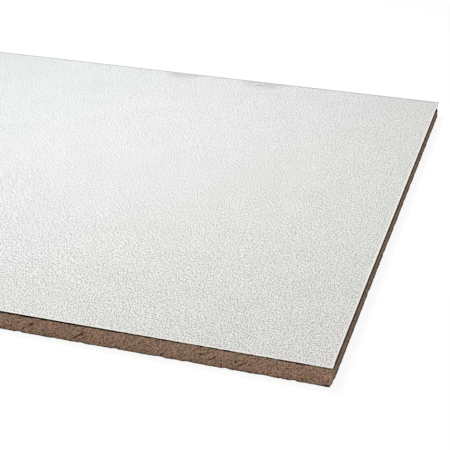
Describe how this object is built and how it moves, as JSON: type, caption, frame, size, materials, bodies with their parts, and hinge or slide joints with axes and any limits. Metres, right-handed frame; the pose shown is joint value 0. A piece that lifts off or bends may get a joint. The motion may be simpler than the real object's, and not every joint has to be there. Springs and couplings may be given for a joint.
{
  "type": "suspended ceiling tile",
  "caption": "Square-edged lay-in ceiling tile: a rigid brown fibre board under a thin white stippled facing, dropped into a suspended ceiling grid.",
  "frame": {"origin": "middle of the back face, which is the surface that the tile lies on in the picture", "axes": "+X along the near side to the right, +Y along the right side and away, +Z out of the finished white face"},
  "size_m": [0.603, 0.603, 0.019],
  "materials": {
    "fibre_board": "matt sawn felted fibre, mottled brown, with open fissures",
    "white_facing": "off-white, satin-matt, finely stippled"
  },
  "bodies": {
    "root": {"core_board": "fibre_board", "face_sheet": "white_facing"}
  },
  "joints": []
}
